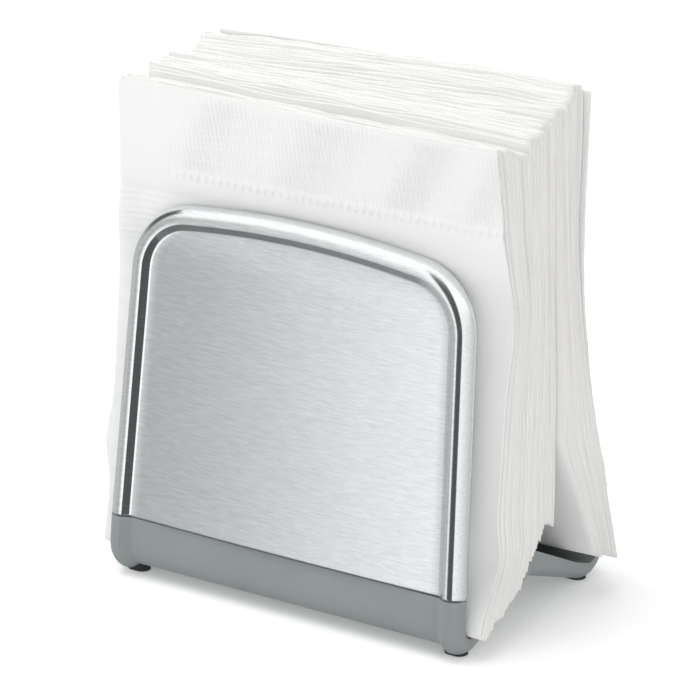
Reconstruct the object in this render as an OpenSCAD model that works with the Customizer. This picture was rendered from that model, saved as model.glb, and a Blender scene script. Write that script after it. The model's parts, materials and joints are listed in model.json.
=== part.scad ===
// Upright napkin dispenser. Two steel-faced panels lean in over a weighted saddle, and the
// saddle's hump splits the napkins into a front and a rear stack that stand on edge.
// Frame: +X right, -Y front, +Z up, origin on the table under the middle of the base.
// The rear half is the front half turned half a turn about +Z, so every module below
// draws the front piece and the rear piece is the same module inside turned().

/* [Holder] */
// Depth over the two bottom bends
holder_depth = 95; // [92:0.5:100]
// Width over the rims, at the seam
holder_width = 137; // [134:0.5:142]
// Height of the seam between the steel and the plastic
seam_height = 21.6; // [20:0.1:23]
// Lean of each panel towards the middle
panel_lean = 6.5; // [5.5:0.1:7]
// Length of a panel from the seam to the top of its crown
panel_rise = 111.4; // [100:0.1:116]

/* [Panel outline] */
// Width lost on each side per millimetre of height
side_taper = 0.034; // [0:0.001:0.05]
// Radius of the top corners
corner_r = 23.5; // [20:0.5:32]
// Radius of the shallow crown along the top
crown_r = 365; // [250:5:600]

/* [Rim] */
// Thickness of the plastic band, and depth of the rim
band_t = 6; // [5.8:0.1:6.2]
// Width of the raised rim, from its outer edge to the flat face
rim_w = 8.6; // [8.4:0.1:9]
// Width of the slope between the rim's crown and the face
rim_slope = 3.2; // [3:0.1:3.4]
// Depth of the face below the rim's crown
face_recess = 2.2; // [2:0.1:2.3]
// Radius of the rim's outer edge
edge_r = 4.6; // [4.4:0.1:4.7]
// Thickness of the steel sheet
sheet_t = 0.8; // [0.6:0.1:0.8]
// Thickness of the bonding sheet behind the steel face
bond_t = 0.5; // [0.4:0.1:0.5]

/* [Bends and arch] */
// Outside radius of the bends the holder stands on
bend_r = 10.8; // [10.6:0.1:11.2]
// Height of the bends above the table, taken up by the rubber feet
foot_gap = 0.5; // [0.4:0.1:0.8]
// Slope of the underside, from the bends up to the middle
arch_slope = 21.5; // [20:0.5:22]
// Thickness of the flange under the saddle, measured from the rim's crown level
flange_depth = 4.2; // [4:0.1:4.4]
// Distance from the middle to the flange's end
flange_end = 11; // [10.5:0.1:11.5]
// Distance from the middle to the saddle's outer edge
saddle_edge = 27; // [26:0.5:28]

/* [Saddle] */
// Height of the side rails where the two halves meet
ridge_height = 24; // [23.5:0.5:24.5]
// Height of the hump that splits the stacks
hump_height = 33.5; // [33:0.1:34.5]
// Radius of the hump's crest
crest_r = 4; // [4:0.1:4.5]
// Slope of the hump's flanks
flank_slope = 52; // [50:0.5:54]
// Radius of the hump's two end corners, seen from the front
hump_end_r = 10; // [6:1:12]

/* [Ballast] */
// Length of the steel ballast bar
ballast_length = 88; // [60:1:90]
// Width of the bar
ballast_width = 12; // [10:0.5:12]
// Height of the bar
ballast_height = 8.6; // [7:0.1:8.6]

/* [Fasteners] */
// Shank radius of the screws
screw_r = 1.3; // [1.2:0.05:1.35]
// Head radius of the screws
screw_head_r = 2.5; // [2.3:0.1:2.7]
// Head height of the screws
screw_head_h = 1.5; // [1.3:0.1:1.6]
// Distance between neighbouring panel screws
screw_pitch = 42; // [34:1:44]

/* [Feet] */
// Distance from the middle to the centre of a rubber foot, across the holder
foot_x = 62.3; // [61.5:0.1:62.5]
// Width of a rubber foot, front to back
foot_w = 5.6; // [5:0.1:6]
// Length of a rubber foot
foot_l = 8; // [7:0.1:8.4]

/* [Napkins] */
// Width of a folded napkin
napkin_w = 146; // [140:1:152]
// Height of a folded napkin
napkin_h = 159; // [150:1:160]
// Thickness of one folded napkin
napkin_t = 0.6; // [0.4:0.1:0.7]
// Height of the stacks at the split
stack_height = 172; // [165:0.5:173]
// Distance of the split behind the middle: the front stack is the fuller one
split_y = 3; // [0:0.1:3]

/* [Hidden] */

$fn = 64;
fit = 0.05;              // gap between pieces that are assembled tight
seam_gap = 0.25;         // open line between the steel and the plastic band
overlap = 0.3;           // how far a straight length runs into the bend it joins
slim = 0.02;             // how much slimmer the straight length is, on every side
half_w = holder_width / 2;
face_half = half_w - rim_w;

// Directions in the side view, as [y, z]. The band's outward normal turns from the
// panel, round the bend, to the arch.
panel_turn = 180 - panel_lean;
arch_turn = 270 + arch_slope;
function outward(turn) = [cos(turn), sin(turn)];
function onward(turn) = [-sin(turn), cos(turn)];
bend = [bend_r - holder_depth / 2, foot_gap + bend_r];
panel_foot = bend + bend_r * outward(panel_turn);
band_rise = (seam_height - panel_foot[1]) / cos(panel_lean);
seam = panel_foot - band_rise * onward(panel_turn);
arch_start = bend + bend_r * outward(arch_turn);

// Height of a layer of the arch at y, lying depth inside its outer surface
function arch_z(y, depth) =
    arch_start[1] + (-abs(y) - arch_start[0]) * tan(arch_slope) + depth / cos(arch_slope);

// Height of the trough and rails at y, rising from the saddle's edge to the ridge
ridge_grade = (ridge_height - arch_z(saddle_edge, band_t)) / saddle_edge;
function ridge_z(y) = ridge_height - abs(y) * ridge_grade;

// The hump's flank is the line tangent to its crest circle
crest_z = hump_height - crest_r;
flank_turn = 90 - flank_slope;
hump_foot = (crest_r + sin(flank_turn) * (crest_z - ridge_height))
    / (cos(flank_turn) - ridge_grade * sin(flank_turn));
function crest_point(r, turn = flank_turn) = [-r * cos(turn), crest_z + r * sin(turn)];
crest_steps = 8;

// Panel outline: straight tapering sides, a corner arc and a crown arc, all tangent.
// Arcs keep their centres when the outline is inset.
side_turn = atan(side_taper);
side_reach = half_w * cos(side_turn);
crown_z = panel_rise - crown_r;
corner_reach = side_reach - corner_r;
corner_b = -2 * corner_reach * sin(side_turn) / pow(cos(side_turn), 2) - 2 * crown_z;
corner_c = pow(corner_reach / cos(side_turn), 2) + pow(crown_z, 2)
    - pow(crown_r - corner_r, 2);
corner_z = (-corner_b + sqrt(pow(corner_b, 2) - 4 * corner_c / pow(cos(side_turn), 2)))
    * pow(cos(side_turn), 2) / 2;
corner_x = (corner_reach - corner_z * sin(side_turn)) / cos(side_turn);
crown_turn = atan2(corner_z - crown_z, corner_x);
corner_steps = 10;
crown_steps = 7;

// Right half of the outline from its foot at height low to just before the top middle
function half_outline(inset, low) = concat(
    [[(side_reach - inset - low * sin(side_turn)) / cos(side_turn), low]],
    [for (i = [0 : corner_steps])
        let (a = side_turn + (crown_turn - side_turn) * (i + 0.5) / (corner_steps + 1))
        [corner_x + (corner_r - inset) * cos(a), corner_z + (corner_r - inset) * sin(a)]],
    [for (i = [1 : crown_steps])
        let (a = crown_turn + (90 - crown_turn) * i / (crown_steps + 0.5))
        [(crown_r - inset) * cos(a), crown_z + (crown_r - inset) * sin(a)]]
);
function mirrored(points) =
    [for (i = [len(points) - 1 : -1 : 0]) [-points[i][0], points[i][1]]];
function outline(inset, low) =
    concat(half_outline(inset, low), mirrored(half_outline(inset, low)));

// Napkin plane: it stands in the bend and passes just behind the panel's top edge
napkin_gap = 0.6;
napkin_foot = bend + (bend_r - band_t - napkin_gap) * outward(220);
panel_tip = seam - panel_rise * onward(panel_turn) - band_t * outward(panel_turn);
napkin_lean = atan((panel_tip[0] + napkin_gap - napkin_foot[0]) / (panel_tip[1] - napkin_foot[1]));
function napkin_y(z, behind) =
    napkin_foot[0] + (z - napkin_foot[1]) * tan(napkin_lean) + behind / cos(napkin_lean);

// Ballast and cover heights
cover_low = arch_z(flange_end, face_recess);
cover_top = arch_z(flange_end, flange_depth);
ballast_low = cover_top + fit + screw_head_h + 0.5;
cavity_gap = 0.3;
cavity_top = ballast_low + ballast_height + cavity_gap;
cover_half = face_half - 1.5;

// Screw places
arch_screw_y = 14.5;
arch_screw_run = (abs(arch_start[0]) - arch_screw_y) / cos(arch_slope);
arch_screw_length = 4.8;
cover_screw_x = 51;
cover_screw_length = 9;
ballast_screw_x = 30;
ballast_screw_length = ballast_height + 6;
foot_top = 3;

module turned() {
    rotate([0, 0, 180]) children();
}

// Local X stays across, local Y runs up the panel from the seam, local Z points outwards
module on_panel() {
    translate([0, seam[0], seam[1]]) rotate([90 - panel_lean, 0, 0]) children();
}

// Local Y points out of the arch and local Z runs up it, from the end of the bend
module on_arch() {
    translate([0, bend[0], bend[1]]) rotate([arch_turn, 0, 0]) children();
}

// Draws a side-view outline, given as [y, z], as a bar across the holder
module across(width) {
    rotate([90, 0, 90]) translate([0, 0, -width / 2]) linear_extrude(width) children();
}

module plate(inset, depth, thickness, low) {
    translate([0, 0, -depth - thickness])
        linear_extrude(thickness)
            polygon(outline(inset, low));
}

// Steel section: turned-back edge, rounded rim, slope down to the face and a strip of face,
// drawn less material thinner on both sides. X is 0 at the panel's outer edge and negative
// inside it, and Y is 0 at the rim's crown.
module skin_section(less) {
    outer_r = edge_r - less;
    inner_r = edge_r - sheet_t + less;
    step = rim_w - rim_slope;
    front = -less;
    back = less - sheet_t;
    strip_end = 20 * less - rim_w - 1;
    polygon(concat(
        [[-less, less - band_t]],
        [for (a = [0 : 15 : 90]) [outer_r * cos(a) - edge_r, outer_r * sin(a) - edge_r]],
        [
            [less - step, front],
            [less - rim_w, front - face_recess],
            [strip_end, front - face_recess],
            [strip_end, back - face_recess],
            [sheet_t / 2 - rim_w - less, back - face_recess],
            [sheet_t / 2 - step - less, back]
        ],
        [for (a = [90 : -15 : 0]) [inner_r * cos(a) - edge_r, inner_r * sin(a) - edge_r]],
        [[less - sheet_t, less - band_t]]
    ));
}

// The steel section taken up both sides, round the corners and along the crown
module skin_rim() {
    side_run = corner_z * cos(side_turn) - corner_x * sin(side_turn);
    spill = overlap / crown_r * 180 / PI;
    for (side = [0, 1])
        mirror([side, 0, 0]) {
            rotate([0, 0, side_turn])
                translate([side_reach, side_run + overlap, 0])
                    rotate([90, 0, 0])
                        linear_extrude(side_run + band_rise) skin_section(slim / 2);
            translate([corner_x, corner_z, 0])
                rotate([0, 0, side_turn])
                    rotate_extrude(angle = crown_turn - side_turn, $fn = 128)
                        translate([corner_r, 0]) skin_section(0);
        }
    translate([0, crown_z, 0])
        rotate([0, 0, crown_turn - spill])
            rotate_extrude(angle = 180 - 2 * crown_turn + 2 * spill, $fn = 1080)
                translate([crown_r, 0]) skin_section(slim / 2);
}

// Cross-section of the plastic band: two raised rims with a sunk face between them, drawn
// less material thinner all round. X is across the holder, Y is out of the band, with the
// rims' crowns at 0.
module band_section(less) {
    floor_y = -face_recess - less;
    difference() {
        union() {
            translate([less - half_w, less - band_t])
                square([2 * (half_w - less), band_t - edge_r - less]);
            translate([edge_r - half_w, less - band_t])
                square([2 * (half_w - edge_r), band_t - 2 * less]);
            for (side = [-1, 1])
                translate([side * (half_w - edge_r), -edge_r])
                    intersection() {
                        circle(r = edge_r - less);
                        translate([-edge_r, -0.5]) square([2 * edge_r, edge_r + 0.5]);
                    }
        }
        polygon([
            [-face_half - less, floor_y],
            [face_half + less, floor_y],
            [face_half + rim_slope + less, 0],
            [face_half + rim_slope + less, 1],
            [-face_half - rim_slope - less, 1],
            [-face_half - rim_slope - less, 0]
        ]);
    }
}

// The band from the seam, round the bend and up the arch
module swept_band(arch_run) {
    translate([0, bend[0], bend[1]]) {
        rotate([panel_turn, 0, 0])
            translate([0, 0, -band_rise])
                linear_extrude(band_rise + overlap)
                    translate([0, bend_r]) band_section(slim);
        rotate([panel_turn + 90, 0, 0])
            rotate([0, 90, 0])
                rotate_extrude(angle = arch_turn - panel_turn)
                    translate([bend_r, 0]) mirror([1, -1]) band_section(0);
        rotate([arch_turn, 0, 0])
            translate([0, 0, -overlap])
                linear_extrude(arch_run)
                    translate([0, bend_r]) band_section(slim);
    }
}

module foot_outline(grow) {
    reach = foot_l / 2 - foot_w / 2;
    for (side = [-1, 1])
        translate([side * reach, 0]) circle(d = foot_w + 2 * grow);
    square([2 * reach, foot_w + 2 * grow], center = true);
}

// Pan-head screw with a hexagon socket: head below the origin, shank up +Z
module pan_screw(length) {
    difference() {
        union() {
            translate([0, 0, -screw_head_h]) cylinder(r = screw_head_r, h = screw_head_h);
            cylinder(r = screw_r, h = length);
        }
        translate([0, 0, -screw_head_h - 1]) cylinder(r = 1.2, h = 1.9, $fn = 6);
    }
}

// Round hole square to the arch, from one depth below the rims' crowns to another
module arch_hole(x, radius, shallow, deep) {
    on_arch()
        translate([x, bend_r - deep, arch_screw_run])
            rotate([-90, 0, 0])
                cylinder(r = radius, h = deep - shallow);
}

// Steel sheet: sunk face, raised rim and the turned-back edge
module skin() {
    color([0.78, 0.79, 0.79])
        on_panel()
            difference() {
                union() {
                    skin_rim();
                    plate(rim_w + 0.5, face_recess + slim, sheet_t - 2 * slim, -band_rise);
                }
                translate([-holder_width, -holder_width + seam_gap, -holder_width])
                    cube(2 * [holder_width, holder_width / 2, holder_width]);
            }
}

// Double-sided sheet that bonds the steel face to its backing
module bond_sheet() {
    color([0.2, 0.2, 0.22])
        on_panel()
            plate(rim_w + 1.2, face_recess + sheet_t + fit, bond_t, 3);
}

// Backing behind the steel: a flat plate with a rib that reaches into the rim
module backing() {
    plate_front = face_recess + sheet_t + bond_t + 2 * fit;
    rib_front = sheet_t + 0.7;
    on_panel() {
        plate(sheet_t + 0.3, plate_front, band_t - plate_front, -overlap);
        difference() {
            plate(edge_r - 1.8, rib_front, plate_front - rib_front + overlap, -overlap);
            plate(rim_w - rim_slope - 0.2, rib_front - 1, plate_front, -1);
        }
    }
}

// Side rails' extra height, from the saddle's edge up to the ridge
module rail_wedge() {
    across(2 * half_w)
        polygon([
            [-saddle_edge - 1, arch_z(saddle_edge + 1, band_t)],
            [-saddle_edge, ridge_z(saddle_edge)],
            [0, ridge_height],
            [0, arch_z(0, band_t) - 1],
            [-saddle_edge, arch_z(saddle_edge, band_t) - 1]
        ]);
}

// J-shaped moulding: backing plate, lower band, bend, side rails and screw flange
module upright() {
    color([0.56, 0.59, 0.59]) {
        difference() {
            union() {
                backing();
                swept_band(arch_run = 40);
                rail_wedge();
            }
            // the other half begins at the middle
            translate([-100, -fit, 0]) cube([200, 60, 60]);
            // pocket that the saddle drops into
            across(2 * cover_half + 4 * fit)
                polygon([
                    [-saddle_edge, arch_z(saddle_edge, flange_depth)],
                    [-saddle_edge, 60],
                    [1, 60],
                    [1, 0],
                    [-flange_end, 0],
                    [-flange_end, arch_z(flange_end, flange_depth)]
                ]);
            for (side = [-1, 1])
                translate([side * foot_x, bend[0], -1])
                    linear_extrude(foot_top + fit + 1) foot_outline(fit);
            for (i = [-1 : 1])
                arch_hole(i * screw_pitch, screw_r + 0.2, -2, band_t + 1);
        }
    }
}

// Side view of the saddle: a thin trough that follows the arch, under a tall hump
module saddle_section() {
    front_half = [
        [-flange_end + fit, cover_top + fit],
        [-flange_end + fit, arch_z(flange_end, flange_depth) + 2 * fit],
        [-saddle_edge + fit, arch_z(saddle_edge, flange_depth) + 2 * fit],
        [-saddle_edge + fit, ridge_z(saddle_edge)],
        [-hump_foot, ridge_z(hump_foot)]
    ];
    crest = [for (i = [0 : crest_steps])
        crest_point(crest_r, flank_turn + (180 - 2 * flank_turn) * i / crest_steps)];
    polygon(concat(front_half, crest, mirrored(front_half)));
}

// Front view of the saddle: its top corners are rounded off
module saddle_front_view() {
    translate([-cover_half, 0]) square([2 * cover_half, hump_height - hump_end_r]);
    translate([hump_end_r - cover_half, 0])
        square([2 * (cover_half - hump_end_r), hump_height + 1]);
    for (side = [-1, 1])
        translate([side * (cover_half - hump_end_r), hump_height - hump_end_r])
            circle(r = hump_end_r);
}

module saddle() {
    color([0.52, 0.55, 0.55])
        difference() {
            intersection() {
                across(2 * cover_half) saddle_section();
                rotate([90, 0, 0])
                    translate([0, 0, -holder_depth / 2])
                        linear_extrude(holder_depth) saddle_front_view();
            }
            // cavity for the ballast bar and its screw heads
            translate([-ballast_length / 2 - cavity_gap, -ballast_width / 2 - cavity_gap, 0])
                cube([
                    ballast_length + 2 * cavity_gap,
                    ballast_width + 2 * cavity_gap,
                    cavity_top
                ]);
            for (side = [-1, 1]) {
                translate([side * ballast_screw_x, 0, cavity_top - 1])
                    cylinder(r = screw_r + fit, h = 7);
                translate([side * cover_screw_x, 0, cover_top - 1])
                    cylinder(r = screw_r + fit, h = cover_screw_length);
            }
            for (i = [-1 : 1]) {
                arch_hole(i * screw_pitch, screw_r + fit, 0, face_recess + arch_screw_length + 0.1);
                turned() arch_hole(i * screw_pitch, screw_r + fit, 0, face_recess + arch_screw_length + 0.1);
            }
        }
}

// Flat plate that closes the underside between the two flanges
module base_cover() {
    color([0.45, 0.48, 0.48])
        difference() {
            translate([-cover_half, -flange_end + fit, cover_low])
                cube([2 * cover_half, 2 * (flange_end - fit), cover_top - cover_low]);
            for (side = [-1, 1])
                translate([side * cover_screw_x, 0, cover_low - 1])
                    cylinder(r = screw_r + 0.2, h = 10);
        }
}

module ballast_bar() {
    color([0.5, 0.5, 0.52])
        difference() {
            translate([-ballast_length / 2, -ballast_width / 2, ballast_low])
                cube([ballast_length, ballast_width, ballast_height]);
            for (side = [-1, 1])
                translate([side * ballast_screw_x, 0, ballast_low - 1])
                    cylinder(r = screw_r + 0.2, h = ballast_height + 2);
        }
}

module ballast_screws() {
    color([0.7, 0.7, 0.72])
        for (side = [-1, 1])
            translate([side * ballast_screw_x, 0, ballast_low])
                pan_screw(ballast_screw_length);
}

module cover_screws() {
    color([0.7, 0.7, 0.72])
        for (side = [-1, 1])
            translate([side * cover_screw_x, 0, cover_low])
                pan_screw(cover_screw_length);
}

// Three screws up through the flange into the saddle
module upright_screws() {
    color([0.7, 0.7, 0.72])
        for (i = [-1 : 1])
            on_arch()
                translate([i * screw_pitch, bend_r - face_recess, arch_screw_run])
                    rotate([90, 0, 0])
                        pan_screw(arch_screw_length);
}

// Rubber foot let into the bend, on the side given by side
module foot(side) {
    color([0.16, 0.16, 0.17])
        translate([side * foot_x, bend[0], 0])
            linear_extrude(foot_top) foot_outline(0);
}

// Side view of one stack: it stands in the trough, leans on the hump and ends at the split,
// which lies beyond the middle by reach
module stack(reach) {
    clear = 0.7;
    front = napkin_t + 0.25;
    color([0.95, 0.95, 0.94])
        across(napkin_w)
            polygon([
                [napkin_y(napkin_foot[1] + clear, front), napkin_foot[1] + clear],
                [bend[0] + 1.5, bend[1] - (bend_r - band_t) + clear],
                [-saddle_edge, ridge_z(saddle_edge) + clear],
                [-hump_foot - 1, ridge_z(hump_foot + 1) + clear],
                crest_point(crest_r + clear),
                [reach - 0.4, hump_height + 2.5],
                [reach - 0.4, stack_height],
                [napkin_y(stack_height - 4, front), stack_height - 4]
            ]);
}

// The outermost napkin of a stack, the next one to be pulled out
module napkin() {
    color([0.97, 0.97, 0.96])
        translate([0, napkin_foot[0], napkin_foot[1]])
            rotate([-napkin_lean, 0, 0])
                translate([-napkin_w / 2, 0, 0])
                    cube([napkin_w, napkin_t, napkin_h]);
}

skin();  // front_skin
turned() skin();  // rear_skin
bond_sheet();  // front_bond_sheet
turned() bond_sheet();  // rear_bond_sheet
upright();  // front_upright
turned() upright();  // rear_upright
saddle();
base_cover();
ballast_bar();
ballast_screws();
cover_screws();
upright_screws();  // front_upright_screws
turned() upright_screws();  // rear_upright_screws
foot(-1);  // front_left_foot
foot(1);  // front_right_foot
turned() foot(1);  // rear_left_foot
turned() foot(-1);  // rear_right_foot
stack(split_y);  // front_stack
turned() stack(-split_y);  // rear_stack
napkin();  // front_napkin
turned() napkin();  // rear_napkin
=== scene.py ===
import json
import math

import bmesh
import bpy
import numpy as np
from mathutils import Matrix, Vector


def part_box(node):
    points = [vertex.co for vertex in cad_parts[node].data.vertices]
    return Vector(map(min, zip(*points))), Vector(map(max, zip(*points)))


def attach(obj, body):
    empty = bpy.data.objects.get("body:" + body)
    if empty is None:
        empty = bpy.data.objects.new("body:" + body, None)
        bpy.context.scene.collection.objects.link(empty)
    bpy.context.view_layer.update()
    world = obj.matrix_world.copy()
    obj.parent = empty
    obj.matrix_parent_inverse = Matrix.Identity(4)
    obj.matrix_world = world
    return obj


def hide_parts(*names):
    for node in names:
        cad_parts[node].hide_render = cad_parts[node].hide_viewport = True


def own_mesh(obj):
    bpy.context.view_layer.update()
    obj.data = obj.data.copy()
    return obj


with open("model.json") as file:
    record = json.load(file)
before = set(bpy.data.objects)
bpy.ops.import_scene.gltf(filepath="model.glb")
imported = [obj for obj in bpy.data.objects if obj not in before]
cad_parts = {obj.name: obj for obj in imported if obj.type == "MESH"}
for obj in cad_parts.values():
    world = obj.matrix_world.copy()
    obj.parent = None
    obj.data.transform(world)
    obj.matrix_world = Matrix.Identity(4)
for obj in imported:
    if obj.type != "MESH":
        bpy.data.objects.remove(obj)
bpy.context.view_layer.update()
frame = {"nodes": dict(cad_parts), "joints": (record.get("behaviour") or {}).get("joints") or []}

# Upright napkin dispenser. World axes: +X right, -Y front, +Z up, origin on the table under
# the middle of the base. Shapes are worked out in millimetres and built in metres. Front
# pieces are drawn directly; rear pieces are drawn as front ones and turned by half a turn.

MM = 0.001


def millimetres(node):
    """Lowest and highest corner of a CAD node, in millimetres"""
    low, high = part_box(node)
    return np.array(low) / MM, np.array(high) / MM


skin_low, skin_high = millimetres("front_skin")
napkin_low, napkin_high = millimetres("front_napkin")
_, saddle_high = millimetres("saddle")

# ---------------------------------------------------------------- small helpers


def smooth(low, high, value):
    """0 below low, 1 above high, and an S-curve in between"""
    t = np.clip((value - low) / (high - low), 0, 1)
    return t * t * (3 - 2 * t)


def bump(value, centre, spread):
    """A bell curve: 1 at centre, nearly 0 at twice spread from it"""
    return np.exp(-(((value - centre) / spread) ** 2))


def ripple(rng, wavelength, size, waves=3):
    """A gentle random wave: a function of one length, about size high"""
    lengths = wavelength * rng.uniform(0.6, 1.7, waves)
    phases = rng.uniform(0, 2 * math.pi, waves)
    heights = size * rng.uniform(0.4, 1.0, waves) / math.sqrt(waves)

    def wave(value):
        return sum(h * np.sin(2 * math.pi * value / n + p) for h, n, p in zip(heights, lengths, phases))

    return wave


def grid_faces(rows, columns, start=0):
    """Quads between neighbouring points of a rows x columns grid, numbered row by row"""
    first = start + np.arange(rows - 1)[:, None] * columns + np.arange(columns - 1)[None, :]
    first = first.ravel()
    return np.stack([first, first + 1, first + columns + 1, first + columns], axis=1)


def turned(points):
    """Half a turn about the vertical axis: a front piece becomes the rear one"""
    return points * np.array([-1, -1, 1])


def build(name, points, faces, material, body, weld=False, sharp=None):
    """A mesh object from points in millimetres, riding on a CAD body"""
    mesh = bpy.data.meshes.new(name)
    mesh.from_pydata((points * MM).tolist(), [], [list(map(int, f)) for f in faces])
    obj = bpy.data.objects.new(name, mesh)
    bpy.context.scene.collection.objects.link(obj)
    if weld:
        weld_mesh(mesh)
    mesh.shade_smooth()
    if sharp is not None:
        mesh.set_sharp_from_angle(angle=math.radians(sharp))
    mesh.materials.append(material)
    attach(obj, body)
    return obj


def weld_mesh(mesh):
    """Joins points that meet, drops faces without area and turns all faces outwards"""
    bm = bmesh.new()
    bm.from_mesh(mesh)
    bmesh.ops.remove_doubles(bm, verts=bm.verts, dist=0.002 * MM)
    bmesh.ops.dissolve_degenerate(bm, edges=bm.edges, dist=0.0005 * MM)
    bmesh.ops.recalc_face_normals(bm, faces=bm.faces)
    bm.to_mesh(mesh)
    bm.free()


# ---------------------------------------------------------------- materials


def new_material(name):
    """A node material: returns it with its node tree and its Principled node"""
    material = bpy.data.materials.new(name)
    material.use_nodes = True
    tree = material.node_tree
    return material, tree, tree.nodes["Principled BSDF"]


def node(tree, kind, **settings):
    """A new node. Each setting is an input's value, or else a property of the node."""
    made = tree.nodes.new(kind)
    for key, value in settings.items():
        if key in made.inputs:
            made.inputs[key].default_value = value
        else:
            setattr(made, key, value)
    return made


def stretched_noise(tree, stretch, scale, detail=4.0, roughness=0.55, source=None):
    """Noise over the object's own coordinates, drawn out by stretch along each axis"""
    mapping = node(tree, "ShaderNodeMapping", Scale=stretch)
    if source is None:
        source = node(tree, "ShaderNodeTexCoord").outputs["Object"]
    tree.links.new(source, mapping.inputs["Vector"])
    noise = node(tree, "ShaderNodeTexNoise", Scale=scale, Detail=detail, Roughness=roughness)
    tree.links.new(mapping.outputs["Vector"], noise.inputs["Vector"])
    return noise.outputs["Fac"]


def remap(tree, value, low, high, from_low=0.3, from_high=0.7):
    """Maps a noise value from its usual spread to low..high"""
    made = node(tree, "ShaderNodeMapRange")
    made.inputs["From Min"].default_value = from_low
    made.inputs["From Max"].default_value = from_high
    made.inputs["To Min"].default_value = low
    made.inputs["To Max"].default_value = high
    tree.links.new(value, made.inputs["Value"])
    return made.outputs["Result"]


def mix_colour(tree, factor, first, second):
    """The first colour where factor is 0, the second where it is 1"""
    made = node(tree, "ShaderNodeMix", data_type="RGBA")
    made.inputs["A"].default_value = (*first, 1)
    made.inputs["B"].default_value = (*second, 1)
    tree.links.new(factor, made.inputs["Factor"])
    return made.outputs["Result"]


def add_bump(tree, principled, height, strength, distance, below=None):
    """Bump on the surface, on top of an earlier bump when below gives its normal"""
    made = node(tree, "ShaderNodeBump", Strength=strength, Distance=distance)
    tree.links.new(height, made.inputs["Height"])
    if below is not None:
        tree.links.new(below, made.inputs["Normal"])
    tree.links.new(made.outputs["Normal"], principled.inputs["Normal"])
    return made.outputs["Normal"]


def brushed_steel():
    """Stainless sheet brushed across the panel: long fine scratches along X"""
    material, tree, principled = new_material("brushed_steel")
    scratches = stretched_noise(tree, (0.03, 1.0, 1.0), 3600, 2.0, 0.6)
    bands = stretched_noise(tree, (0.16, 1.0, 1.0), 1300, 3.0, 0.65)
    clouds = stretched_noise(tree, (0.6, 1.0, 1.0), 30, 2.0)
    both = node(tree, "ShaderNodeMath", operation="ADD")
    tree.links.new(scratches, both.inputs[0])
    tree.links.new(bands, both.inputs[1])
    colour = mix_colour(
        tree, remap(tree, both.outputs[0], 0, 1, 0.75, 1.25), (0.74, 0.765, 0.765), (0.88, 0.90, 0.90)
    )
    tree.links.new(colour, principled.inputs["Base Color"])
    tree.links.new(remap(tree, clouds, 0.20, 0.24), principled.inputs["Roughness"])
    principled.inputs["Metallic"].default_value = 1.0
    principled.inputs["Anisotropic"].default_value = 0.85
    upward = node(tree, "ShaderNodeCombineXYZ", Z=1.0)
    tree.links.new(upward.outputs["Vector"], principled.inputs["Tangent"])
    add_bump(tree, principled, both.outputs[0], 0.05, 0.00001)
    return material


def moulded_plastic(name, dark, light):
    """Satin grey plastic with a fine moulded grain"""
    material, tree, principled = new_material(name)
    clouds = stretched_noise(tree, (1, 1, 1), 45, 3.0)
    grain = stretched_noise(tree, (1, 1, 1), 2600, 2.0)
    tree.links.new(
        mix_colour(tree, remap(tree, clouds, 0, 1), dark, light), principled.inputs["Base Color"]
    )
    tree.links.new(remap(tree, grain, 0.40, 0.52), principled.inputs["Roughness"])
    principled.inputs["IOR"].default_value = 1.48
    add_bump(tree, principled, grain, 0.22, 0.00004)
    return material


def soft_rubber():
    """Matt black rubber pads"""
    material, tree, principled = new_material("foot_rubber")
    grain = stretched_noise(tree, (1, 1, 1), 1500, 3.0)
    tree.links.new(
        mix_colour(tree, remap(tree, grain, 0, 1), (0.018, 0.018, 0.02), (0.04, 0.04, 0.043)),
        principled.inputs["Base Color"],
    )
    principled.inputs["Roughness"].default_value = 0.82
    add_bump(tree, principled, grain, 0.4, 0.00008)
    return material


def closed_foam():
    """Black double-sided foam with small closed cells"""
    material, tree, principled = new_material("bond_foam")
    cells = node(tree, "ShaderNodeTexVoronoi", Scale=1800.0)
    tree.links.new(node(tree, "ShaderNodeTexCoord").outputs["Object"], cells.inputs["Vector"])
    tree.links.new(
        mix_colour(tree, cells.outputs["Distance"], (0.05, 0.05, 0.055), (0.10, 0.10, 0.105)),
        principled.inputs["Base Color"],
    )
    principled.inputs["Roughness"].default_value = 0.9
    add_bump(tree, principled, cells.outputs["Distance"], 0.5, 0.0001)
    return material


def rolled_steel():
    """Plain hot-rolled bar: dark scale with rubbed patches"""
    material, tree, principled = new_material("ballast_steel")
    scale_marks = stretched_noise(tree, (0.3, 1, 1), 160, 5.0, 0.65)
    tree.links.new(
        mix_colour(tree, remap(tree, scale_marks, 0, 1), (0.12, 0.12, 0.13), (0.38, 0.37, 0.36)),
        principled.inputs["Base Color"],
    )
    tree.links.new(remap(tree, scale_marks, 0.7, 0.42), principled.inputs["Roughness"])
    principled.inputs["Metallic"].default_value = 0.9
    add_bump(tree, principled, scale_marks, 0.3, 0.0001)
    return material


def turned_steel():
    """Screws: bright steel with faint turning marks"""
    material, tree, principled = new_material("screw_steel")
    marks = stretched_noise(tree, (1, 1, 0.2), 1800, 2.0)
    tree.links.new(
        mix_colour(tree, remap(tree, marks, 0, 1), (0.55, 0.55, 0.57), (0.75, 0.75, 0.77)),
        principled.inputs["Base Color"],
    )
    principled.inputs["Metallic"].default_value = 1.0
    tree.links.new(remap(tree, marks, 0.22, 0.4), principled.inputs["Roughness"])
    add_bump(tree, principled, marks, 0.2, 0.00003)
    return material


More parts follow.
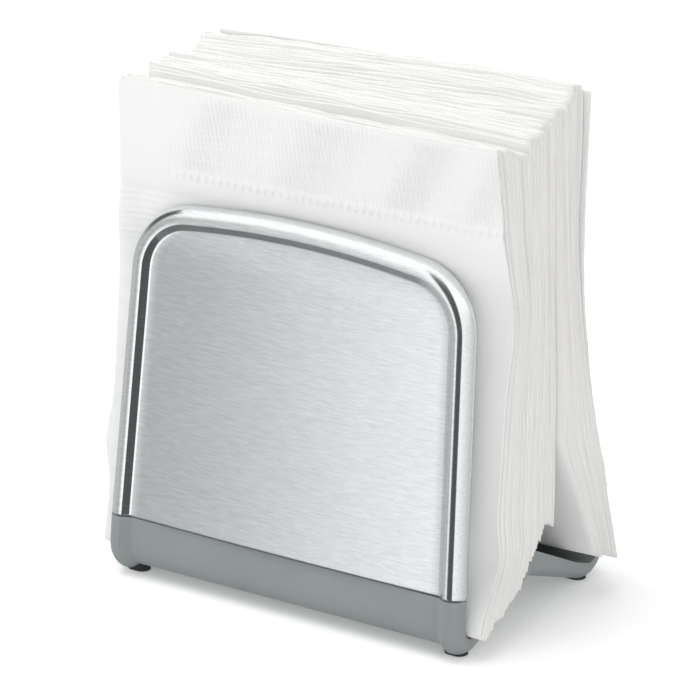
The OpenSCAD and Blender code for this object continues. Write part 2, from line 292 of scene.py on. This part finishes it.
def napkin_paper(name, front, edge):
    """Soft two-ply tissue: faint crepe on its faces and plies that show along its edges.
    The mesh carries three values: sheet counts the plies, edge is 1 along a sheet's rim,
    and relief is the height of the pressed pattern in millimetres."""
    material, tree, principled = new_material(name)
    crepe = stretched_noise(tree, (1.0, 1.0, 0.45), 1500, 4.0, 0.6)
    clouds = stretched_noise(tree, (1, 1, 1), 60, 3.0)
    sheet = node(tree, "ShaderNodeAttribute", attribute_name="sheet")
    rim = node(tree, "ShaderNodeAttribute", attribute_name="edge")
    relief = node(tree, "ShaderNodeAttribute", attribute_name="relief")
    # streaks along the plies: noise over the sheet's number and the place on the sheet
    place = node(tree, "ShaderNodeTexCoord")
    along = node(tree, "ShaderNodeSeparateXYZ")
    tree.links.new(place.outputs["Object"], along.inputs["Vector"])
    lines = node(tree, "ShaderNodeCombineXYZ")
    tree.links.new(sheet.outputs["Fac"], lines.inputs["X"])
    tree.links.new(along.outputs["X"], lines.inputs["Y"])
    tree.links.new(along.outputs["Z"], lines.inputs["Z"])
    plies = stretched_noise(tree, (1.9, 24, 14), 1.0, 3.0, 0.6, lines.outputs["Vector"])
    # faces are plain paper with faint clouds, edges are streaked
    dim_front = tuple(0.985 * c for c in front)
    dim_edge = tuple(0.93 * c for c in edge)
    face = mix_colour(tree, remap(tree, clouds, 0, 1), dim_front, front)
    side = mix_colour(tree, remap(tree, plies, 0, 1), dim_edge, edge)
    join = node(tree, "ShaderNodeMix", data_type="RGBA")
    tree.links.new(rim.outputs["Fac"], join.inputs["Factor"])
    tree.links.new(face, join.inputs["A"])
    tree.links.new(side, join.inputs["B"])
    tree.links.new(join.outputs["Result"], principled.inputs["Base Color"])
    principled.inputs["Roughness"].default_value = 0.92
    principled.inputs["Specular IOR Level"].default_value = 0.2
    principled.inputs["Sheen Weight"].default_value = 0.15
    # crepe, then plies, then the pressed pattern
    soft = add_bump(tree, principled, crepe, 0.25, 0.00006)
    lined = add_bump(tree, principled, plies, 0.35, 0.0002, soft)
    add_bump(tree, principled, relief.outputs["Fac"], 1.0, 0.0008, lined)
    return material


STEEL = brushed_steel()
PLASTIC = moulded_plastic("grey_plastic", (0.235, 0.262, 0.262), (0.255, 0.283, 0.283))
RUBBER = soft_rubber()
FOAM = closed_foam()
BALLAST = rolled_steel()
SCREWS = turned_steel()
PAPER = napkin_paper("napkin_paper", (0.832, 0.832, 0.837), (0.82, 0.812, 0.795))

# ---------------------------------------------------------------- steel skins

# the same driving sizes as the CAD panel's, in millimetres
PANEL_LEAN = math.radians(6.5)
HALF_WIDTH = skin_high[0]
SEAM_GAP = 0.25
BAND_T = 6.0
SIDE_TAPER = 0.034
CORNER_R = 23.5
CROWN_R = 365.0
FACE_RECESS = 2.2
FACE_BOW = 1.2
SHEET_T = 0.8
EDGE_R = 4.6

SEAM_Y = skin_low[1] - SEAM_GAP * math.sin(PANEL_LEAN)
SEAM_Z = skin_low[2] - SEAM_GAP * math.cos(PANEL_LEAN) + BAND_T * math.sin(PANEL_LEAN)
PANEL_RISE = (skin_high[2] - SEAM_Z + EDGE_R * math.sin(PANEL_LEAN)) / math.cos(PANEL_LEAN)


def on_panel(across, up, depth):
    """Points given across, up the panel from the seam and depth behind the rim's crown"""
    y = SEAM_Y + up * math.sin(PANEL_LEAN) + depth * math.cos(PANEL_LEAN)
    z = SEAM_Z + up * math.cos(PANEL_LEAN) - depth * math.sin(PANEL_LEAN)
    return np.stack([across + 0 * y, y, z], axis=-1)


def rim_profile():
    """(inset, depth) pairs over the rounded rim, from its side to the sunk face: an outer
    roll, a crown, a shoulder, a slope and a fillet, all tangent"""
    roll_r, crown_r, shoulder_r, fillet_r = 4.4, 5.5, 1.2, 1.5
    slope_degrees, fillet_steps = 40, 5
    # the surface's tilt at each arc's start and end, its radius and its number of steps
    turns = [(90, 12, roll_r, 14), (12, -6, crown_r, 4), (-6, -slope_degrees, shoulder_r, 6)]
    inset, depth = 0.0, EDGE_R
    pairs = [(inset, depth)]

    def arc(start, end, radius, steps):
        nonlocal inset, depth
        for i in range(steps):
            a, b = (math.radians(start + (end - start) * k / steps) for k in (i, i + 1))
            inset += radius * abs(math.sin(a) - math.sin(b))
            depth += radius * (math.cos(a) - math.cos(b))
            pairs.append((inset, depth))

    for turn in turns:
        arc(*turn)
    slope = math.radians(slope_degrees)
    fillet_drop = fillet_r * (1 - math.cos(slope))
    run = (FACE_RECESS - fillet_drop - depth) / math.sin(slope)
    inset += run * math.cos(slope)
    depth += run * math.sin(slope)
    pairs.append((inset, depth))
    for i in range(fillet_steps):
        a, b = (slope * (1 - k / fillet_steps) for k in (i, i + 1))
        inset += fillet_r * (math.sin(a) - math.sin(b))
        depth += fillet_r * (math.cos(b) - math.cos(a))
        pairs.append((inset, depth))
    return pairs


RIM = rim_profile()
FACE_INSET = RIM[-1][0]


def half_outline(inset, low, side_steps=10, corner_steps=22, crown_steps=12):
    """Right half of the panel's outline from height low to the top middle: a tapering side,
    a corner arc and a shallow crown, all tangent. Arcs keep their centres when inset. The
    side's points stand closer together near the seam, so that shading stays crisp there."""
    side_turn = math.atan(SIDE_TAPER)
    reach = HALF_WIDTH * math.cos(side_turn)
    crown_z = PANEL_RISE - CROWN_R
    corner_reach = reach - CORNER_R
    cos2 = math.cos(side_turn) ** 2
    # the corner's centre lies CORNER_R inside the side and inside the crown: a quadratic
    b = -2 * corner_reach * math.sin(side_turn) / cos2 - 2 * crown_z
    c = corner_reach**2 / cos2 + crown_z**2 - (CROWN_R - CORNER_R) ** 2
    corner_z = (-b + math.sqrt(b * b - 4 * c / cos2)) * cos2 / 2
    corner_x = (corner_reach - corner_z * math.sin(side_turn)) / math.cos(side_turn)
    crown_turn = math.atan2(corner_z - crown_z, corner_x)
    points = []
    corner_low = corner_z + (CORNER_R - inset) * math.sin(side_turn)
    for i in range(side_steps):
        up = low + (corner_low - low) * (i / side_steps) ** 2
        points.append(((reach - inset - up * math.sin(side_turn)) / math.cos(side_turn), up))
    for i in range(corner_steps + 1):
        a = side_turn + (crown_turn - side_turn) * i / corner_steps
        points.append((
            corner_x + (CORNER_R - inset) * math.cos(a),
            corner_z + (CORNER_R - inset) * math.sin(a),
        ))
    for i in range(1, crown_steps + 1):
        a = crown_turn + (math.pi / 2 - crown_turn) * i / crown_steps
        points.append(((CROWN_R - inset) * math.cos(a), crown_z + (CROWN_R - inset) * math.sin(a)))
    return np.array(points)


def full_outline(inset, low):
    """The whole outline, from the right foot over the top to the left foot"""
    half = half_outline(inset, low)
    left = half[-2::-1] * np.array([-1, 1])
    return np.concatenate([half, left])


def skin_mesh():
    """Steel sheet: turned-back edge, rounded rim, and a face bowed out a little"""
    profile = [(0.0, BAND_T), (0.0, (BAND_T + EDGE_R) / 2)] + RIM
    rings = [full_outline(inset, SEAM_GAP) for inset, _ in profile]
    count = len(rings[0])
    points = [on_panel(r[:, 0], r[:, 1], np.full(count, d)) for r, (_, d) in zip(rings, profile)]
    faces = grid_faces(len(profile), count)
    points = np.concatenate(points)

    # the face: one row for each height of the inner ring, joined to the ring by welding
    inner = half_outline(FACE_INSET, SEAM_GAP)
    steps = 36
    across = np.linspace(1, -1, steps + 1)
    half_span = inner[0, 0]
    top = inner[-1, 1]
    x = inner[:, :1] * across[None, :]
    up = np.repeat(inner[:, 1:2], steps + 1, axis=1)
    bow = (1 - across[None, :] ** 2) * (x[:, :1] / half_span) ** 2
    depth = FACE_RECESS - FACE_BOW * bow * smooth(0, 12, top - up)
    face_points = on_panel(x.ravel(), up.ravel(), depth.ravel())
    face_faces = grid_faces(len(inner), steps + 1, start=len(points))
    return np.concatenate([points, face_points]), np.concatenate([faces, face_faces])


def make_skins():
    """Both steel faces: thin sheets with closed edges, in place of the CAD skins"""
    points, faces = skin_mesh()
    for name, placed in (("front_skin", points), ("rear_skin", turned(points))):
        obj = build(name + "_sheet", placed, faces, STEEL, "holder", weld=True)
        thick = obj.modifiers.new("sheet", "SOLIDIFY")
        thick.thickness = SHEET_T * MM
        thick.offset = -1
        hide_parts(name)


make_skins()

# ---------------------------------------------------------------- napkins

pull = frame["joints"][0]["axis"]
NAPKIN_LEAN = math.atan2(pull[1], pull[2])
FOOT_Y, FOOT_Z = napkin_low[1], napkin_low[2]
NAPKIN_HALF = napkin_high[0]
NAPKIN_TOP = napkin_high[2]

# the CAD base that the napkins stand on: bend, arch, trough and hump
BEND_Y, BEND_Z, BEND_INNER = -36.7, 11.3, 4.8
BEND_END_Y = -34.0
ARCH_GRADE = 0.394
RIDGE_Z, RIDGE_GRADE = 24.0, 0.52
CREST_R, CREST_Z = 4.0, 29.5
FLANK = math.radians(52)
SPLIT_Y = 3.6

# a folded napkin as the waves along its edges count it, and where it clears the panel
SHEET_WIDE, SHEET_TALL = 146, 160
PANEL_TOP = 131

# a stack turns about the corner that it rests on
PIVOT_X, PIVOT_Z = 60.0, 10.0

# the outermost napkin stands this far behind the outer surface, the stack starts behind it
SHEET_CLEARANCE = 0.2
STACK_CLEARANCE = 1.05
RIM_BULGE = 0.45

# where the loose tops part: (place in the stack from 0 to 1, centre across, spread, size)
FRONT_GAPS = [(0.3, 30, 26, 2.2), (0.62, -30, 34, 1.4)]
REAR_GAPS = [(0.35, 20, 40, 1.0), (0.7, -20, 30, 1.2)]


def leaf_plane(z):
    """Front face of the flat napkin that the CAD holds, as y at each height"""
    return FOOT_Y + (z - FOOT_Z) * math.tan(NAPKIN_LEAN)


def floor_under(y):
    """Height that the front napkins stand on: the hump's flank and crest, the trough before
    it, the arch, then inside the bend"""
    saddle_edge = saddle_high[1]
    ahead = np.abs(y)
    crest = CREST_Z + np.sqrt(np.clip(CREST_R**2 - y**2, 0, None))
    flank = CREST_Z + CREST_R / math.cos(FLANK) - ahead * math.tan(FLANK)
    hump = np.where(ahead < CREST_R * math.sin(FLANK), crest, flank)
    trough = np.maximum(RIDGE_Z - ahead * RIDGE_GRADE, hump)
    edge_z = RIDGE_Z - saddle_edge * RIDGE_GRADE
    arch = edge_z - (ahead - saddle_edge) * ARCH_GRADE
    side = np.clip(np.abs(y - BEND_Y), 0, BEND_INNER - 0.1)
    bend = BEND_Z - np.sqrt(BEND_INNER**2 - side**2)
    low = np.where(y > BEND_END_Y, np.maximum(arch, bend), bend)
    return np.where(y > -saddle_edge, trough, low)


def front_outer(x, z):
    """Outer surface of the front stack: it follows the panel, leans out above it, and is
    pinched back beside the panel's right edge"""
    right = smooth(44, 73, x) ** 1.2
    # from the foot up to the panel's top, and most at a knee and at a shoulder
    pinch = 6.4 * smooth(8, 32, z) * (1 - smooth(112, 140, z))
    pinch = pinch + 2.0 * bump(z, 104, 12) + 3.0 * bump(z, 31, 10)
    # above the panel the left corner leans out at once, the right one later and further
    above = np.clip(z - PANEL_TOP, 0, None)
    across = (x + NAPKIN_HALF) / SHEET_WIDE
    lean_out = -5.5 * (above / 37) ** 0.7 * (1 - across) - 9.5 * (above / 40) ** 1.2 * across
    curl = -2.2 * smooth(65, 73, -x) * bump(z, 124, 14)
    return leaf_plane(z) + pinch * right + lean_out + curl


def split(z):
    """The surface where the two stacks meet"""
    return SPLIT_Y - 0.052 * np.clip(z - 70, 0, None)


def front_inner(x, z):
    """Inner surface of the front stack: the split"""
    return split(z) + 0 * x


def rear_outer(x, z):
    """Outer surface of the rear stack before it is turned; its pinched edge is at -X"""
    side = smooth(38, 73, -x) ** 1.2
    pinch = 15.0 * bump(z, 105, 75)
    return leaf_plane(z) + pinch * (side + 0.1 * smooth(40, 73, x))


def rear_inner(x, z):
    """Inner surface of the rear stack: the split, then it falls back and leaves a gap"""
    below = np.clip(62 - z, 0, None)
    fall = 0.49 * below**2 / (below + 4) - 0.0012 * below**2
    return -(split(z) + 0.3 + fall) + 0 * x


def parting(x, z, u, gaps):
    """How far a gap in the loose tops moves a sheet at place u: outwards before it, inwards
    behind it"""
    loose = smooth(128, 172, z)
    moved = 0
    for place, centre, spread, size in gaps:
        side = -0.5 if u < place else 0.5
        moved = moved + side * size * bump(x, centre, spread)
    return loose * moved


def sheet_grid(columns, rows):
    """Positions across and up a sheet, closer together towards its rim"""
    s = np.linspace(0, 1, columns)
    t = np.linspace(0, 1, rows)
    s = 0.45 * s + 0.55 * (0.5 - 0.5 * np.cos(math.pi * s))
    t = 0.6 * t + 0.4 * (0.5 - 0.5 * np.cos(math.pi * t))
    return np.meshgrid(s, t)


def closed_sheet(x, y, z, thickness, number, relief=0.0):
    """Closed thin sheet round a grid of middle points, with a rounded rim. Returns its
    points, its faces and the sheet, edge and relief values for the paper's material."""
    rows, columns = x.shape
    half = thickness / 2
    front = np.stack([x, y - half, z], axis=-1)
    back = np.stack([x, y + half, z], axis=-1)
    grid = np.arange(rows * columns).reshape(rows, columns)
    rim = np.concatenate([grid[0, :-1], grid[:-1, -1], grid[-1, :0:-1], grid[:0:-1, 0]])
    outward = np.zeros((rows, columns, 3))
    outward[:, 0, 0] = -1
    outward[:, -1, 0] = 1
    outward[0, :, 2] = -1
    outward[-1, :, 2] = 1
    middle = np.stack([x, y, z], axis=-1) + outward * np.minimum(half, RIM_BULGE)[..., None]
    middle = middle.reshape(-1, 3)[rim]
    size = rows * columns
    faces_front = grid_faces(rows, columns)
    faces_back = faces_front[:, ::-1] + size
    following = np.roll(np.arange(len(rim)), -1)
    ring = 2 * size + np.arange(len(rim))
    rim_front = np.stack([rim, ring, ring[following], rim[following]], axis=1)
    rim_back = np.stack([ring, rim + size, rim[following] + size, ring[following]], axis=1)
    points = np.concatenate([front.reshape(-1, 3), back.reshape(-1, 3), middle])
    faces = np.concatenate([faces_front, faces_back, rim_front, rim_back])
    counts = np.concatenate([np.zeros(size), np.ones(size), np.full(len(rim), 0.5)]) + number
    edge = np.zeros(len(points))
    edge[rim] = 1
    edge[rim + size] = 1
    edge[2 * size:] = 1
    raised = np.zeros(len(points))
    raised[:size] = (relief + 0 * x).ravel()
    raised[size:2 * size] = -raised[:size]
    return points, faces, {"sheet": counts, "edge": edge, "relief": raised}


def paper_object(name, sheets, body, flip):
    """One object from closed sheets, with the values that its material reads"""
    starts = np.cumsum([0] + [len(points) for points, _, _ in sheets])
    placed = np.concatenate([points for points, _, _ in sheets])
    faces = np.concatenate([faces + start for (_, faces, _), start in zip(sheets, starts)])
    if flip:
        placed = turned(placed)
    obj = build(name, placed, faces, PAPER, body)
    for title in ("sheet", "edge", "relief"):
        values = np.concatenate([carried[title] for _, _, carried in sheets])
        attribute = obj.data.attributes.new(title, "FLOAT", "POINT")
        attribute.data.foreach_set("value", values.astype(np.float32))
    return obj


def stack_sheets(outer, inner, gaps, seed, count, rotate, top, aside=0.0, loose_turn=0.3):
    """The napkins of one stack. Each is a closed folded sheet whose middle surface lies
    between the stack's outer and inner surfaces. They stand at slightly different heights
    and angles, in small groups as they were loaded, and part a little at the top. A sheet's
    place u runs from 0 at the panel to 1 at the split; s and t run across and up a sheet."""
    rng = np.random.default_rng(seed)
    s, t = sheet_grid(30, 44)
    group_left = 0
    sheets = []
    for k in range(count):
        if group_left == 0:
            group_left = int(rng.integers(2, 8))
            group_shift = rng.normal(0, 0.30)
            group_lift = rng.normal(0, 0.6)
            group_turn = rng.normal(0, loose_turn)
        group_left -= 1
        u = (k + 0.5) / count
        shift = aside + group_shift + rng.normal(0, 0.12)
        lift = group_lift + rng.normal(0, 0.3)
        turn = math.radians(rotate(u) + group_turn + rng.normal(0, 0.06))
        side_wave = ripple(rng, 60, 0.25)
        top_wave = ripple(rng, 45, 0.5)
        foot_wave = ripple(rng, 40, 0.15)
        z_top = top(u, s) + lift + top_wave(s * SHEET_WIDE)
        x = -NAPKIN_HALF + 2 * NAPKIN_HALF * s + shift + side_wave(t * SHEET_TALL) * (2 * s - 1)
        # the foot slides along the base until it stands on it
        z_foot = np.full_like(x, 12.0)
        for _ in range(12):
            y_foot = outer(x, z_foot) * (1 - u) + inner(x, z_foot) * u
            z_foot = floor_under(y_foot) + 0.9
        z_foot = z_foot + np.abs(foot_wave(s * SHEET_WIDE)) + 0.2 * rng.random()
        z = z_foot * (1 - t) + z_top * t
        x_turned, z_turned = x - PIVOT_X, z - PIVOT_Z
        x = PIVOT_X + x_turned * math.cos(turn) + z_turned * math.sin(turn)
        z = PIVOT_Z + z_turned * math.cos(turn) - x_turned * math.sin(turn)
        y = outer(x, z) * (1 - u) + inner(x, z) * u
        y = y + parting(x, z, u, gaps) + 0.35 * smooth(128, 172, z) * side_wave(x)
        pitch = (inner(x, z) - outer(x, z)) / count
        sheets.append(closed_sheet(x, y, z, pitch * rng.uniform(0.93, 1.0), k))
    return sheets


def front_tops(u, s):
    """Heights of the front napkins' top edges: the group loaded last stands lower"""
    step = 4.6 * smooth(0.5, 0.58, u) - 5.0 * smooth(0, 0.5, u)
    rise = 2.4 + 2.4 * smooth(0.65, 0.9, u)
    return 167 + step + rise * s


def rear_tops(u, s):
    """Heights of the rear napkins' top edges, before the stack is turned"""
    return 169.5 - 4.5 * smooth(0.15, 0.7, u) + 5.0 * (1 - s)


def make_stacks():
    """Both stacks; the rear one leans over by more, as one block"""
    front = stack_sheets(
        lambda x, z: front_outer(x, z) + STACK_CLEARANCE, front_inner, FRONT_GAPS,
        seed=11, count=48, rotate=lambda u: 0.3 * u, top=front_tops,
    )
    rear = stack_sheets(
        lambda x, z: rear_outer(x, z) + STACK_CLEARANCE, rear_inner, REAR_GAPS,
        seed=23, count=40, rotate=lambda u: 1.6, top=rear_tops, aside=-6.3, loose_turn=0.08,
    )
    for name, sheets, flip in (("front_stack", front, False), ("rear_stack", rear, True)):
        obj = paper_object(name + "_napkins", sheets, "holder", flip)
        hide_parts(name)


make_stacks()

# ---------------------------------------------------------------- outermost napkins

# the pressed pattern: spacings and heights, and how far its band reaches down
RIDGE_PITCH, RIDGE_HEIGHT = 1.6, 0.24
DASH_PITCH, DASH_HEIGHT = 2.9, 0.44
RIB_PITCH, RIB_HEIGHT = 2.2, 0.10
BAND_DEPTH = 28.5
NAPKIN_T = 0.55


def embossing(x, below_top, rng):
    """Height of the pressed pattern: a band of fine slanted ridges under the top edge that
    come and go in clusters, a row of short dashes below it, and faint ribs by one side"""
    cluster = ripple(rng, 26, 1.0, 4)
    drift = ripple(rng, 34, 0.5, 3)
    slanted = x - 0.12 * below_top + drift(below_top + 0.5 * x)
    strength = smooth(-1.2, 1.2, cluster(x + 0.6 * below_top)) * 0.8 + 0.2
    band = smooth(0, 3, below_top) * (1 - smooth(BAND_DEPTH - 3, BAND_DEPTH, below_top))
    ridges = np.sin(2 * math.pi * slanted / RIDGE_PITCH) * strength * band
    dash_row = bump(below_top, BAND_DEPTH + 0.8, 1.1)
    dashes = dash_row * np.clip(np.sin(2 * math.pi * x / DASH_PITCH), 0, 1)
    inside = smooth(-56, -26, x + 0.4 * below_top)
    by_side = (1 - smooth(-66, -48, x)) * smooth(30, 40, below_top)
    ribs = np.sin(2 * math.pi * below_top / RIB_PITCH) * by_side
    return RIDGE_HEIGHT * ridges * inside + DASH_HEIGHT * dashes * inside + RIB_HEIGHT * ribs


def outermost_napkin(outer, gaps, seed, bulge, aside, lift, rise):
    """The next napkin to be pulled, with its embossed pattern. Its free side edge swells by
    bulge. It stands aside, lifted a little, and with one top corner higher by rise."""
    rng = np.random.default_rng(seed)
    columns, rows = 360, 120
    s, t = np.meshgrid(np.linspace(0, 1, columns), np.linspace(0, 1, rows))
    # rows stand closer together in the upper third, which carries the pattern
    t = np.where(t < 0.5, 1.3 * t, 0.65 + (t - 0.5) * 0.7)
    top_wave = ripple(rng, 70, 0.25)
    z_foot = FOOT_Z + 0.2 + lift
    z_top = NAPKIN_TOP + 0.3 + lift
    uneven = rise * (s if rise > 0 else s - 1)
    z = z_foot * (1 - t) + (z_top + uneven + top_wave(s * SHEET_WIDE)) * t
    swell = -2.4 * bump(z, 44, 10) - 1.0 * bump(z, 10, 10)
    x = aside - NAPKIN_HALF + 2 * NAPKIN_HALF * s
    x = x + bulge * swell * (1 - s) ** 3
    y = outer(x, z) + SHEET_CLEARANCE + parting(x, z, 0, gaps)
    pressed = embossing(x, z_top + uneven - z, rng)
    return closed_sheet(x, y - pressed, z, np.full_like(x, NAPKIN_T), 0, pressed)


def make_outermost():
    """The two outermost napkins, each riding on the body of its own leaf."""
    front = outermost_napkin(
        front_outer, FRONT_GAPS, seed=5, bulge=1.0, aside=0.0, lift=0.0, rise=3.3
    )
    obj = paper_object("front_napkin_sheet", [front], "front_leaf", False)
    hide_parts("front_napkin")
    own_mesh(obj)
    rear = outermost_napkin(
        rear_outer, REAR_GAPS, seed=7, bulge=0.3, aside=-4.4, lift=4.0, rise=-6.0
    )
    obj = paper_object("rear_napkin_sheet", [rear], "rear_leaf", True)
    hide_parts("rear_napkin")
    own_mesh(obj)


make_outermost()

# ---------------------------------------------------------------- CAD pieces that are shown

SHOWN = [
    (PLASTIC, "grey_plastic", ["front_upright", "rear_upright", "saddle", "base_cover"]),
    (FOAM, "bond_foam", ["front_bond_sheet", "rear_bond_sheet"]),
    (BALLAST, "ballast_steel", ["ballast_bar"]),
    (SCREWS, "screw_steel", [
        "ballast_screws", "cover_screws", "front_upright_screws", "rear_upright_screws",
    ]),
    (RUBBER, "foot_rubber", [
        "front_left_foot", "front_right_foot", "rear_left_foot", "rear_right_foot",
    ]),
]


def show_cad_piece(obj, material):
    """Dresses a CAD piece as it is, with crisp edges and smooth curves"""
    obj.data.materials.clear()
    obj.data.materials.append(material)
    obj.data.shade_smooth()
    obj.data.set_sharp_from_angle(angle=math.radians(30))


for shown_material, shown_slot, shown_names in SHOWN:
    for shown_name in shown_names:
        show_cad_piece(frame["nodes"][shown_name], shown_material)

# ---------------------------------------------------------------- studio


# brightness of the mirrored surroundings by direction: degrees from the front to the right
MIRRORED_RING = [
    (-180, 0.34), (-150, 0.46), (-60, 0.46), (-42, 0.36), (-36, 0.40), (-29, 0.74),
    (-22, 0.92), (-10, 1.0), (44, 1.0), (64, 0.42), (104, 0.28), (146, 0.24), (180, 0.34),
]


def ring_colour(tree, direction):
    """Colour of the mirrored ring, from the direction that a ray leaves in"""
    forward = node(tree, "ShaderNodeMath", operation="MULTIPLY")
    forward.inputs[1].default_value = -1
    tree.links.new(direction.outputs["Y"], forward.inputs[0])
    round_about = node(tree, "ShaderNodeMath", operation="ARCTAN2")
    tree.links.new(direction.outputs["X"], round_about.inputs[0])
    tree.links.new(forward.outputs[0], round_about.inputs[1])
    turn = node(tree, "ShaderNodeMapRange")
    turn.inputs["From Min"].default_value = -math.pi
    turn.inputs["From Max"].default_value = math.pi
    tree.links.new(round_about.outputs[0], turn.inputs["Value"])
    ring = node(tree, "ShaderNodeValToRGB")
    tree.links.new(turn.outputs["Result"], ring.inputs["Fac"])
    ramp = ring.color_ramp
    while len(ramp.elements) > 1:
        ramp.elements.remove(ramp.elements[0])
    for i, (degrees, value) in enumerate(MIRRORED_RING):
        stop = ramp.elements[0] if i == 0 else ramp.elements.new(0.5)
        stop.position = (degrees + 180) / 360
        stop.color = (value, value * 1.01, value * 1.015, 1)
    return ring.outputs["Color"]


def fading(tree, value, start, end):
    """Soft mix whose colour A gives way to colour B as value goes from start to end"""
    step = node(tree, "ShaderNodeMapRange", interpolation_type="SMOOTHSTEP")
    step.inputs["From Min"].default_value = start
    step.inputs["From Max"].default_value = end
    tree.links.new(value, step.inputs["Value"])
    mix = node(tree, "ShaderNodeMix", data_type="RGBA")
    tree.links.new(step.outputs["Result"], mix.inputs["Factor"])
    return mix


def switch(tree, choice, first, second):
    """One of two background shaders: the second where choice is 1"""
    made = node(tree, "ShaderNodeMixShader")
    tree.links.new(choice, made.inputs["Fac"])
    tree.links.new(first.outputs[0], made.inputs[1])
    tree.links.new(second.outputs[0], made.inputs[2])
    return made


def studio_world():
    """White surroundings, but what the steel mirrors is a ring of soft boxes and gaps, white
    overhead and dark straight below"""
    world = bpy.data.worlds.new("studio")
    bpy.context.scene.world = world
    world.use_nodes = True
    tree = world.node_tree
    tree.nodes.clear()
    place = node(tree, "ShaderNodeTexCoord")
    direction = node(tree, "ShaderNodeSeparateXYZ")
    tree.links.new(place.outputs["Generated"], direction.inputs["Vector"])
    overhead = fading(tree, direction.outputs["Z"], 0.18, 0.5)
    tree.links.new(ring_colour(tree, direction), overhead.inputs["A"])
    overhead.inputs["B"].default_value = (1.0, 1.0, 1.0, 1)
    ground = fading(tree, direction.outputs["Z"], -0.82, -0.62)
    ground.inputs["A"].default_value = (0.08, 0.09, 0.09, 1)
    tree.links.new(overhead.outputs["Result"], ground.inputs["B"])
    mirrored = node(tree, "ShaderNodeBackground", Strength=1.28)
    tree.links.new(ground.outputs["Result"], mirrored.inputs["Color"])
    plain = node(tree, "ShaderNodeBackground", Color=(1, 1, 1, 1), Strength=0.64)
    backdrop = node(tree, "ShaderNodeBackground", Color=(1, 1, 1, 1), Strength=1.0)
    rays = node(tree, "ShaderNodeLightPath")
    unseen = switch(tree, rays.outputs["Is Glossy Ray"], plain, mirrored)
    seen = switch(tree, rays.outputs["Is Camera Ray"], unseen, backdrop)
    output = node(tree, "ShaderNodeOutputWorld")
    tree.links.new(seen.outputs[0], output.inputs["Surface"])


def card(name, wide, tall, material):
    """A flat rectangle round the origin that belongs to the studio"""
    w, h = wide / 2, tall / 2
    mesh = bpy.data.meshes.new(name)
    mesh.from_pydata([(-w, -h, 0), (w, -h, 0), (w, h, 0), (-w, h, 0)], [], [(0, 1, 2, 3)])
    mesh.materials.append(material)
    obj = bpy.data.objects.new(name, mesh)
    bpy.context.scene.collection.objects.link(obj)
    return obj


def floor():
    """Pale matt floor, lit a little from within so that shadows stay light"""
    material, _, principled = new_material("studio_floor")
    principled.inputs["Base Color"].default_value = (0.92, 0.92, 0.92, 1)
    principled.inputs["Emission Color"].default_value = (1, 1, 1, 1)
    principled.inputs["Emission Strength"].default_value = 0.22
    principled.inputs["Roughness"].default_value = 0.9
    principled.inputs["Specular IOR Level"].default_value = 0.1
    obj = card("floor", 16.0, 16.0, material)
    obj.visible_glossy = False


def place_facing(obj, azimuth, elevation, distance, target=(0, 0, 0.08)):
    """Puts an object in a direction from the target, turned to face it"""
    a, e = math.radians(azimuth), math.radians(elevation)
    direction = Vector((math.sin(a) * math.cos(e), -math.cos(a) * math.cos(e), math.sin(e)))
    obj.location = Vector(target) + direction * distance
    obj.rotation_euler = direction.to_track_quat("Z", "Y").to_euler()


def dark_flag(name, azimuth, elevation, distance, wide, tall):
    """A dark card that is seen only in reflections: it draws a dark stripe on the rims"""
    material, _, principled = new_material(name)
    principled.inputs["Base Color"].default_value = (0.02, 0.02, 0.02, 1)
    principled.inputs["Emission Color"].default_value = (0.62, 0.68, 0.68, 1)
    principled.inputs["Emission Strength"].default_value = 0.11
    principled.inputs["Roughness"].default_value = 1.0
    principled.inputs["Specular IOR Level"].default_value = 0.0
    obj = card(name, wide, tall, material)
    place_facing(obj, azimuth, elevation, distance)
    obj.visible_camera = False
    obj.visible_diffuse = False
    obj.visible_shadow = False
    obj.visible_transmission = False


def soft_box(name, azimuth, elevation, distance, size, power):
    """A square area light that looks at the object and isn't mirrored in it"""
    light = bpy.data.lights.new(name, "AREA")
    light.size = size
    light.energy = power
    obj = bpy.data.objects.new(name, light)
    bpy.context.scene.collection.objects.link(obj)
    place_facing(obj, azimuth, elevation, distance)
    obj.visible_glossy = False


def camera():
    """Long lens from the front right, a little above"""
    data = bpy.data.cameras.new("camera")
    data.sensor_width = 36
    data.lens = 267.6
    obj = bpy.data.objects.new("camera", data)
    bpy.context.scene.collection.objects.link(obj)
    place_facing(obj, 33.33, 21.01, 1.7019, target=(-0.0026, 0, 0.0784))
    bpy.context.scene.camera = obj


studio_world()
floor()
dark_flag("front_flag", 18.8, 0, 0.195, 0.118, 0.46)
dark_flag("corner_flag", -90, 26, 1.0, 1.0, 0.64)
soft_box("overhead", -60, 74, 1.1, 1.0, 8)
soft_box("side_fill", 62, 18, 1.6, 1.0, 3.2)
soft_box("raking", -78, 22, 1.4, 0.6, 3.2)
camera()
bpy.context.scene.view_settings.view_transform = "Standard"
